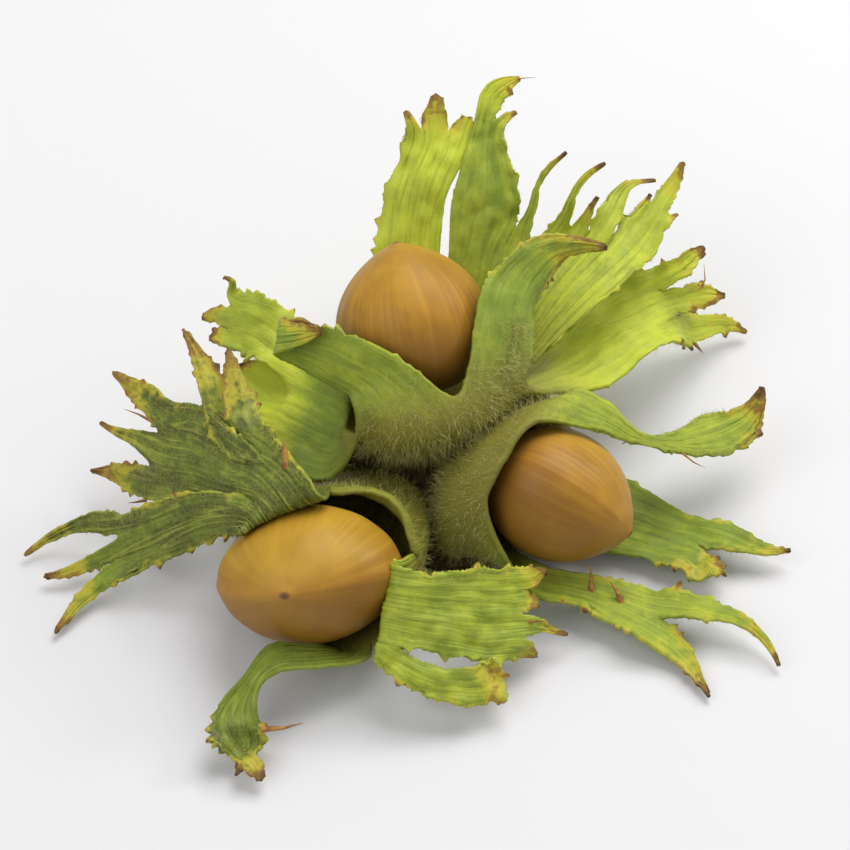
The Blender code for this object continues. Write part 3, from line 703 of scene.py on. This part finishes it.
def husk_cage(rings, lobes, zero):
    """The whole husk as one open sheet of a few faces."""
    bm = bmesh.new()
    layers = bm.verts.layers
    grain = layers.float_vector.new("grain")
    for key in ("thick", "blade", "tone", "fuzz", "tip", "crumple"):
        layers.float.new(key)
    turns = []
    spans = []
    tones = []
    for i, (start, strip) in enumerate(lobes):
        end = lobes[(i + 1) % len(lobes)][0] + (360 if i + 1 == len(lobes) else 0)
        wide = columns(strip)
        spans.append((len(turns), wide, strip))
        turns += [math.radians(start + (end - start) * j / wide) for j in range(wide)]
        tones += [strip[3]] * wide
    row = bmesh.ops.create_circle(bm, segments=len(turns), radius=1.0, cap_ends=True)["verts"]
    row = row + row[:1]
    for i, (middle, way, half_first, half_second) in enumerate(rings):
        first, second = axes(aim(*way), aim(*zero))
        row = step_out(bm, row) if i else row
        for j, (vert, turn) in enumerate(zip(row, turns)):
            vert.co = place(*middle) + (first * math.cos(turn) * half_first
                                        + second * math.sin(turn) * half_second) * MM
            share = math.tau * j / len(turns)
            vert[grain] = (math.cos(share), math.sin(share), 4.0 * i)
            mark(layers, vert, tone=tones[j], thick=1.0 if i < 3 else 0.3,
                 fuzz=1.0 if i < 3 else 0.75)
    for start, wide, strip in spans:
        grow(bm, row[start:start + wide + 1], strip, 0.5, 0)
    bmesh.ops.recalc_face_normals(bm, faces=bm.faces)
    return bm, len(turns)


def baked(name, data, levels=0):
    """The mesh of a curve or a cage after its thickness or subdivision, as a bmesh."""
    draft = bpy.data.objects.new(name, data)
    bpy.context.scene.collection.objects.link(draft)
    if levels:
        smooth = draft.modifiers.new("smooth", "SUBSURF")
        smooth.levels = levels
        smooth.render_levels = levels
    graph = bpy.context.evaluated_depsgraph_get()
    bm = bmesh.new()
    bm.from_mesh(bpy.data.meshes.new_from_object(draft.evaluated_get(graph)))
    bpy.data.objects.remove(draft)
    return bm


def smoothed(bm, levels):
    """A cage after subdivision, as a new cage."""
    mesh = bpy.data.meshes.new("cage")
    bm.to_mesh(mesh)
    bm.free()
    fine = baked("cage", mesh, levels)
    fine.normal_update()
    return fine


def margin_runs(bm):
    """The free edges of a sheet, as closed runs of vertices."""
    seen = set()
    runs = []
    for start in bm.verts:
        if start in seen or not start.is_boundary:
            continue
        run = [start]
        seen.add(start)
        while True:
            ahead = [edge.other_vert(run[-1]) for edge in run[-1].link_edges if edge.is_boundary]
            ahead = [vert for vert in ahead if vert not in seen]
            if not ahead:
                break
            run.append(ahead[0])
            seen.add(ahead[0])
        runs.append(run)
    return runs


# The teeth of a free edge, and the ragged gaps between them, in millimetres.
TOOTH_WIDE = (0.6, 1.8)
TOOTH_HIGH = (0.15, 0.8)
GAP_WIDE = (0.8, 2.8)
GAP_HIGH = (-0.35, 0.15)
TOOTH_AGAIN = 0.62
TOOTH_AFTER_GAP = 0.40
TALL_CHANCE = 0.12
LEANING_PEAK = 0.75
SUNK = 0.12
FRAYED = 0.08


def tooth_row(run, chance, along):
    """How far each vertex of a free edge is pushed out, in millimetres: pointed teeth that
    lean towards the tip of the lobe, in clumps, with ragged stretches between them."""
    pushes = [0.0] * len(run)
    i = 0
    toothed = True
    while i < len(run) - 1:
        toothed = chance.random() < (TOOTH_AGAIN if toothed else TOOTH_AFTER_GAP)
        width = chance.uniform(*(TOOTH_WIDE if toothed else GAP_WIDE))
        height = chance.uniform(*(TOOTH_HIGH if toothed else GAP_HIGH))
        height *= 2.0 if chance.random() < TALL_CHANCE else 1.0
        spans = [0.0]
        j = i
        while spans[-1] < width and j + 1 < len(run):
            spans.append(spans[-1] + (run[j + 1].co - run[j].co).length / MM)
            j += 1
        forward = run[j][along].z > run[i][along].z
        peak = LEANING_PEAK if forward else 1.0 - LEANING_PEAK
        for k, span in enumerate(spans):
            t = span / max(spans[-1], 0.01)
            rise = t / peak if t < peak else (1.0 - t) / (1.0 - peak)
            pushes[i + k] = height * rise ** 1.2 - SUNK
        i = j
    return [push + chance.uniform(-FRAYED, FRAYED) for push in pushes]


# How far in from a free edge its teeth, its curl, its dry rim and its brown teeth reach.
TOOTH_REACH = 2.2
CURL_REACH = 3.0
RIM_REACH = 2.0
PEAK_REACH = 0.9
CURL_HIGH = 1.3
CURL_SPAN = 5.0
CRUMPLED_TEETH = 0.8


def thickness(share):
    """How thick a husk is, in millimetres, from a blade's edge to the cup."""
    return BLADE_THICK + (CUP_THICK - BLADE_THICK) * share


def fade(gap, reach):
    """One at an edge, falling to nothing at a reach from it."""
    return max(0.0, 1.0 - gap / reach)


def shape_edges(bm, chance):
    """Tooth and curl the free edges of the lobes, and mark how near each point is to one."""
    layers = bm.verts.layers
    blade = layers.float["blade"]
    along = layers.float_vector["grain"]
    near = layers.float.new("near")
    peak = layers.float.new("peak")
    rims = []
    for run in margin_runs(bm):
        for vert, push in zip(run, tooth_row(run, chance, along)):
            edges = [edge for edge in vert.link_edges if edge.is_boundary]
            line = edges[0].other_vert(vert).co - edges[-1].other_vert(vert).co
            outward = line.cross(vert.normal).normalized()
            inner = sum((face.calc_center_median() for face in vert.link_faces), Vector())
            inner = inner / len(vert.link_faces)
            if outward.dot(vert.co - inner) < 0:
                outward = -outward
            curl = CURL_HIGH * noise.noise(vert.co / (CURL_SPAN * MM))
            push *= 1.0 + CRUMPLED_TEETH * vert[layers.float["crumple"]]
            rims.append((vert, outward * push * vert[blade], curl * vert[blade], push))
    tree = KDTree(len(rims))
    for i, (vert, *_) in enumerate(rims):
        tree.insert(vert.co, i)
    tree.balance()
    moves = []
    for vert in bm.verts:
        _, index, gap = tree.find(vert.co)
        rim, shift, curl, push = rims[index]
        gap /= MM
        pull = fade(gap, TOOTH_REACH)
        bend = fade(gap, CURL_REACH) ** 2
        vert[near] = fade(gap, RIM_REACH) * rim[blade]
        vert[peak] = max(0.0, push) * fade(gap, PEAK_REACH) * rim[blade]
        moves.append((shift * pull * pull + vert.normal * curl * bend) * MM)
    for vert, move in zip(bm.verts, moves):
        vert.co += move
        vert.co = held(vert.co, thickness(vert[layers.float["thick"]]) / 2)


# Heights in millimetres: on the cup, and what an open blade and a crumpled end add.
RIBS_PER_FACE = 1.3
RIB_HIGH = (0.12, 0.06, 0.0)
WAVE_SPAN = 7.0
WAVE_HIGH = (0.0, 0.7, 1.2)
CRINKLE_SPAN = 2.2
CRINKLE_HIGH = (0.10, 0.16, 0.9)


def ribs(bm, count, seed):
    """Raise the lengthwise ribs and the slow waves of the sheet."""
    layers = bm.verts.layers
    grain = layers.float_vector["grain"]
    blade = layers.float["blade"]
    vein = layers.float.new("vein")
    reach = count * RIBS_PER_FACE / math.tau
    moves = []
    for vert in bm.verts:
        flow = Vector((vert[grain].x * reach, vert[grain].y * reach, vert[grain].z * 0.05 + seed))
        ridge = 1.0 - abs(noise.noise(flow)) * 3.2
        ridge = max(0.0, ridge) ** 2
        wave = noise.noise(vert.co / (WAVE_SPAN * MM) + Vector((seed, 0, 0)))
        crinkle = noise.noise(vert.co / (CRINKLE_SPAN * MM))
        vert[vein] = ridge
        open_leaf = vert[blade]
        crumple = vert[layers.float["crumple"]] * open_leaf
        rise = 0.0
        for form, high in ((ridge, RIB_HIGH), (wave, WAVE_HIGH), (crinkle, CRINKLE_HIGH)):
            rise += form * (high[0] + high[1] * open_leaf + high[2] * crumple)
        moves.append(vert.normal * rise * MM)
    for vert, move in zip(bm.verts, moves):
        vert.co += move


def husk_material():
    """Green bract: lengthwise veins and a fine net, olive down on the cup, dry brown ends."""
    tree, where = new_material("husk_green")
    fine, broad = streaks(tree, 30.0, 0.20)
    tone, fuzz, tip, near, peak, vein = (
        reading(tree, name) for name in ("tone", "fuzz", "tip", "near", "peak", "vein"))
    cloud = speckle(tree, where, 240.0)
    patch = speckle(tree, where, 700.0, 3.0, 0.65)
    fleck = speckle(tree, where, 1700.0, 4.0, 0.7)
    shade = tone
    for noise_value, share in ((cloud, 0.45), (broad, 0.65), (patch, 0.45)):
        centred = sums(tree, "SUBTRACT", noise_value, 0.5)
        shade = sums(tree, "MULTIPLY_ADD", centred, share, shade)
    base = tint(tree, mask(tree, shade, 0.0, 0.5), (0.078, 0.090, 0.014), (0.195, 0.268, 0.026))
    base = tint(tree, mask(tree, shade, 0.42, 1.1), base, (0.50, 0.565, 0.042))
    # A fine pale net of veins on the darker leaves.
    warp = add_node(tree, "VectorMath", {0: where, 1: (0.0005, 0.0005, 0.0005)}, operation="ADD")
    net = add_node(tree, "TexVoronoi", {"Vector": warp.outputs[0], "Scale": 1500.0,
                                        "Randomness": 1.0}, feature="DISTANCE_TO_EDGE")
    cell = mask(tree, net.outputs["Distance"], 0.0, 0.16, 0.38, 0.0)
    leafy = sums(tree, "MULTIPLY", mask(tree, tone, 0.55, 0.2), mask(tree, patch, 0.3, 0.6, 0.3, 1.0))
    base = tint(tree, sums(tree, "MULTIPLY", cell, leafy), base, (0.30, 0.33, 0.055))
    base = tint(tree, mask(tree, fine, 0.52, 0.74, 0.0, 0.22), base, (0.46, 0.50, 0.11))
    base = tint(tree, mask(tree, fine, 0.48, 0.30, 0.0, 0.20), base, (0.10, 0.15, 0.015))
    pale_vein = sums(tree, "MULTIPLY", mask(tree, vein, 0.62, 1.0),
                     mask(tree, tone, 0.6, 0.2, 0.28, 0.55))
    base = tint(tree, pale_vein, base, (0.38, 0.42, 0.060))
    # Down dulls the cup to olive.
    down = sums(tree, "MULTIPLY", mask(tree, fuzz, 0.15, 0.85, 0.0, 0.9),
                mask(tree, fleck, 0.25, 0.6, 0.65, 1.0))
    base = tint(tree, down, base, (0.205, 0.175, 0.030))
    # The ends turn yellow, then brown, and the torn edges are dry.
    dry = sums(tree, "MULTIPLY_ADD", near, 0.32, sums(tree, "MULTIPLY", tip, 0.95))
    dry = sums(tree, "MULTIPLY_ADD", peak, 0.85, dry)
    dry = sums(tree, "MULTIPLY_ADD", sums(tree, "SUBTRACT", cloud, 0.5), 1.0, dry)
    dry = sums(tree, "MULTIPLY_ADD", sums(tree, "SUBTRACT", patch, 0.5), 0.9, dry)
    base = tint(tree, mask(tree, dry, 0.26, 0.62, 0.0, 0.75), base, (0.52, 0.44, 0.035))
    base = tint(tree, mask(tree, dry, 0.56, 0.82, 0.0, 0.9), base, (0.24, 0.12, 0.025))
    base = tint(tree, mask(tree, dry, 0.80, 1.1, 0.0, 0.85), base, (0.085, 0.038, 0.016))
    rough = mask(tree, cloud, 0.3, 0.7, 0.44, 0.60)
    height = sums(tree, "MULTIPLY_ADD", fleck, sums(tree, "ADD", fuzz, 0.35),
                  sums(tree, "MULTIPLY", fine, 1.2))
    return finish_material("husk_green", base, rough, height, 0.7, 0.22,
                           Specular_IOR_Level=0.3, Subsurface_Weight=0.18,
                           Subsurface_Scale=0.001, Subsurface_Radius=(0.8, 1.0, 0.2))


husk_green = husk_material()


def husk(name, rings, lobes, zero, seed):
    """A husk: the sheet smoothed, ribbed, toothed and given its thickness."""
    chance = random.Random(seed)
    cage, count = husk_cage(rings, lobes, zero)
    bm = smoothed(cage, FINE_LEVELS)
    edges = [edge for edge in bm.edges if edge.is_boundary]
    bmesh.ops.subdivide_edges(bm, edges=edges, cuts=1)
    bm.normal_update()
    ribs(bm, count, seed)
    bm.normal_update()
    shape_edges(bm, chance)
    bm.normal_update()
    weights = [vert[bm.verts.layers.float["thick"]] for vert in bm.verts]
    made = add_piece(name + "_leafy", bm, husk_green, "husk", name)
    group = made.vertex_groups.new(name="thick")
    for i, weight in enumerate(weights):
        group.add([i], weight, "REPLACE")
    wall = made.modifiers.new("wall", "SOLIDIFY")
    wall.thickness = CUP_THICK * MM
    wall.offset = 0.0
    wall.vertex_group = "thick"
    wall.thickness_vertex_group = BLADE_THICK / CUP_THICK
    return made


husk_top = husk("husk_top", TOP_RINGS, TOP_LOBES, (1, 0, 0), 1)
husk_left = husk("husk_left", LEFT_RINGS, LEFT_LOBES, (1, 0, 0), 2)
husk_right = husk("husk_right", RIGHT_RINGS, RIGHT_LOBES, (0, 1, 0), 3)


# The down: fine short hairs that cover the cups, thickest low down and along the fold of
# the top husk's right lobe, and a short fringe along the free edges.
HAIR_CLEAR = 0.03
STRAY = 0.6
DROOP = 0.4
HAIR_BEND = 0.35
FOLD_WIDE = 1.6


def hair_material(name, light, dark):
    """Dry hair, darker in places."""
    tree, where = new_material(name)
    cloud = speckle(tree, where, 900.0)
    base = tint(tree, mask(tree, cloud, 0.35, 0.65), light, dark)
    rough = mask(tree, cloud, 0.3, 0.7, 0.5, 0.7)
    return finish_material(name, base, rough, cloud, 0.1, 0.01, Specular_IOR_Level=0.2)


def strands(name, runs, material, slot):
    """Many thin tapered hairs as one mesh, each a run of points with its radius."""
    line = bpy.data.curves.new(name, "CURVE")
    line.dimensions = "3D"
    line.bevel_depth = MM
    line.bevel_resolution = 0
    for points, radius in runs:
        spline = line.splines.new("POLY")
        spline.points.add(len(points) - 1)
        for i, (knot, spot) in enumerate(zip(spline.points, points)):
            knot.co = (*held(spot, radius + HAIR_CLEAR), 1.0)
            knot.radius = radius * (1.0 - 0.9 * i / (len(points) - 1))
    return add_piece(name, baked(name, line), material, slot)


def mean(mesh, key, face):
    """The mean of an attribute over a face's corners."""
    values = mesh.attributes[key].data
    return sum(values[i].value for i in face.vertices) / len(face.vertices)


def down(name, carrier, count, reach, radius, material, slot, share):
    """Hairs sown over the outside of a piece, by the share that each of its faces gets."""
    mesh = carrier.data
    chance = random.Random(count)
    # In order of place, because the husks' faces come in another order each time.
    faces = sorted(mesh.polygons, key=lambda face: tuple(face.center))
    shares = [face.area * share(mesh, face) for face in faces]
    middle = sum((face.center * part for face, part in zip(faces, shares)), Vector())
    middle = middle / sum(shares)
    facing = sum(part * face.normal.dot(face.center - middle)
                 for face, part in zip(faces, shares))
    runs = []
    for face in chance.choices(faces, weights=shares, k=count):
        corners = sorted((mesh.vertices[i].co for i in face.vertices), key=tuple)
        parts = [chance.random() for _ in corners]
        root = sum((co * part for co, part in zip(corners, parts)), Vector()) / sum(parts)
        outward = face.normal if facing > 0 else -face.normal
        if "thick" in mesh.attributes:
            root = root + outward * thickness(mean(mesh, "thick", face)) * MM / 2
        stray = Vector([chance.uniform(-1, 1) for _ in range(3)])
        way = (outward + stray * STRAY).normalized()
        length = chance.uniform(0.5, 1.0) * reach * MM
        bend = (stray.cross(way) + Vector((0, 0, -DROOP))) * HAIR_BEND
        runs.append(([root, root + way * length * 0.5, root + (way + bend) * length], radius))
    return strands(name, runs, material, slot)


def fuzzy(mesh, face):
    """The share of down on a face of a husk."""
    return max(0.0, mean(mesh, "fuzz", face) - 0.1)


def fringed(mesh, face):
    """The share of short hair along the free edges."""
    return max(0.0, mean(mesh, "near", face) - 0.5)


def ridged(mesh, face):
    """The share of hair on the fold of the top husk's right lobe."""
    near = min((face.center - spot).length for spot in FOLD) / MM
    return math.exp(-(near / FOLD_WIDE) ** 2)


FOLD = [place(*spot) for spot in ((9.5, 2.5, 11.5), (11.6, 7.0, 10.0), (12.2, 11.5, 9.4),
                                  (14.0, 6.0, 8.0), (17.5, 3.0, 5.5))]
pale_hair = hair_material("hair_pale", (0.56, 0.53, 0.20), (0.36, 0.33, 0.10))
dark_hair = hair_material("hair_dark", (0.050, 0.032, 0.014), (0.14, 0.085, 0.03))
for carrier, count in ((husk_top, 4200), (husk_right, 2600), (husk_left, 2200)):
    husk_name = carrier.name.replace("_leafy", "")
    down(husk_name + "_down", carrier, count, 1.7, 0.026, pale_hair, "husk", fuzzy)
    down(husk_name + "_fringe", carrier, 1300, 0.9, 0.020, pale_hair, "husk", fringed)
down("husk_top_tuft", husk_top, 300, 2.0, 0.03, pale_hair, "husk", ridged)


# The stalk: a short woody stem, rough and brown, that the three cups grow from. It was broken off
# below. Its head, between the cups, is matted with dark dead scales and hair, and its dark lumps also
# fill the shaded hollows between the cups as painted shade.
def bark_material():
    """Rough brown bark, nearly black between the cups, where it is partly painted shade."""
    tree, where = new_material("stalk_bark")
    cloud = speckle(tree, where, 260.0, 4.0, 0.65)
    fleck = speckle(tree, where, 1500.0, 4.0, 0.7)
    base = tint(tree, mask(tree, cloud, 0.35, 0.65), (0.030, 0.020, 0.010), (0.11, 0.075, 0.03))
    base = tint(tree, mask(tree, fleck, 0.55, 0.75, 0.0, 0.5), base, (0.20, 0.15, 0.06))
    rough = mask(tree, fleck, 0.3, 0.7, 0.7, 0.9)
    height = sums(tree, "ADD", fleck, cloud)
    return finish_material("stalk_bark", base, rough, height, 0.8, 0.25, Specular_IOR_Level=0.2)


def stem():
    """The stem itself, through three points."""
    line = bpy.data.curves.new("stem", "CURVE")
    line.dimensions = "3D"
    line.bevel_depth = MM
    line.bevel_resolution = 10
    line.resolution_u = 24
    line.use_fill_caps = True
    run = line.splines.new("BEZIER")
    run.bezier_points.add(2)
    spots = ((-1.1, -8.3, -2.6), (0.5, -4.0, -7.6), (1.5, 0.8, -15.0))
    for knot, spot, wide in zip(run.bezier_points, spots, (3.2, 1.9, 2.1)):
        knot.co = place(*spot)
        knot.radius = wide
        knot.handle_left_type = "AUTO"
        knot.handle_right_type = "AUTO"
    bm = baked("stem", line)
    bmesh.ops.remove_doubles(bm, verts=bm.verts, dist=0.001 * MM)
    roughen(bm, 1.6, 0.12)
    return add_piece("stalk_stem", bm, stalk_bark, "stalk", "stalk")


def roughen(bm, width, height):
    """Push the surface about by noise, and keep it above the table."""
    bm.normal_update()
    moves = [vert.normal * noise.fractal(vert.co / (width * MM), 0.9, 2.0, 4) * height * MM
             for vert in bm.verts]
    for vert, move in zip(bm.verts, moves):
        vert.co = held(vert.co + move, 0.02)


def scales_and_shade():
    """The dark, tangled head of the stalk, in the hollows between the cups: partly dead growth,
    partly a dark filler as painted shade.
    """
    bm = bmesh.new()
    for spot, wide, tall, deep in (((-2.6, -6.8, -2.4), 5.2, 4.2, 3.0),
                                   ((-7.8, -4.2, -2.4), 3.6, 3.0, 2.2),
                                   ((4.2, -15.0, -0.4), 6.8, 3.4, 2.0),
                                   ((12.0, 1.2, -2.4), 4.6, 3.2, 3.0)):
        made = bmesh.ops.create_icosphere(bm, subdivisions=5, radius=1.0)["verts"]
        for vert in made:
            x, up, out = vert.co
            vert.co = place(spot[0] + x * wide, spot[1] + up * tall, spot[2] + out * deep)
    roughen(bm, 1.2, 0.9)
    return add_piece("stalk_scales_and_shade", bm, stalk_bark, "stalk")


stalk_bark = bark_material()
stem()
scales_and_shade_lumps = scales_and_shade()
down("stalk_hairs", scales_and_shade_lumps, 2600, 2.6, 0.03, dark_hair, "stalk", lambda mesh, face: 1.0)


# The spines: stiff dry points and threads at the ends of the lobes, brown to orange, each
# rooted in the leaf that carries it.
# Each is given by the pixels of its root, bend and tip, and its radius in millimetres.
SPINES = (
    ((512, 79), (524, 77), (537, 75), 0.16),
    ((697, 292), (705, 280), (704, 264), 0.20),
    ((698, 344), (701, 349), (703, 353), 0.30),
    ((286, 468), (285, 452), (283, 440), 0.60),
    ((264, 727), (284, 727), (303, 723), 0.50),
    ((147, 422), (135, 414), (124, 409), 0.28),
    ((140, 500), (134, 502), (128, 503), 0.30),
    ((592, 592), (591, 580), (591, 566), 0.50),
    ((622, 602), (617, 592), (610, 581), 0.55),
    ((682, 456), (694, 464), (706, 468), 0.20),
    ((660, 625), (664, 633), (668, 640), 0.30),
    ((528, 622), (537, 621), (546, 622), 0.28),
    ((640, 435), (629, 440), (622, 444), 0.40),
)
BEND_OUT = 0.5
TIP_OUT = 0.6
SEARCH_RINGS = (0, 3, 6, 10, 15)
SEARCH_WAYS = 8


def pixel(px, py, out):
    """The point of the layout that shows at a pixel, at a height out of the picture."""
    scale = (1.0 - out / CAMERA_FAR) / PIXELS_PER_MM
    return place((px - PICTURE / 2) * scale, (PICTURE / 2 - py) * scale, out)


def rooted(px, py, trees):
    """Where a pixel meets the husks, or the nearest leaf to it."""
    eye = place(0, 0, CAMERA_FAR)
    for reach in SEARCH_RINGS:
        for turn in range(SEARCH_WAYS if reach else 1):
            angle = turn * math.tau / SEARCH_WAYS
            end = pixel(px + reach * math.cos(angle), py + reach * math.sin(angle), 0)
            hits = [tree.ray_cast(eye, (end - eye).normalized()) for tree in trees]
            hits = [hit for hit in hits if hit[0]]
            if hits:
                return min(hits, key=lambda hit: hit[3])[0]
    raise ValueError(f"no leaf near {px} {py}")


def spines():
    """Each spine from its root on a leaf, with its bend and tip a little proud of it."""
    trees = []
    for carrier in (husk_top, husk_right, husk_left):
        mesh = carrier.data
        trees.append(BVHTree.FromPolygons([vert.co for vert in mesh.vertices],
                                          [face.vertices for face in mesh.polygons]))
    runs = []
    for base, bend, tip, radius in SPINES:
        root = rooted(*base, trees)
        out = (root - place(0, 0, 0)).dot(aim(0, 0, 1)) / MM
        shift = root - pixel(*base, out)
        middle = pixel(*bend, out + BEND_OUT) + shift * 0.5
        runs.append(([root, middle, pixel(*tip, out + TIP_OUT)], radius))
    return strands("husk_spines", runs, spine_dry, "husk")


spine_dry = hair_material("spine_dry", (0.45, 0.23, 0.06), (0.20, 0.10, 0.04))
spines()
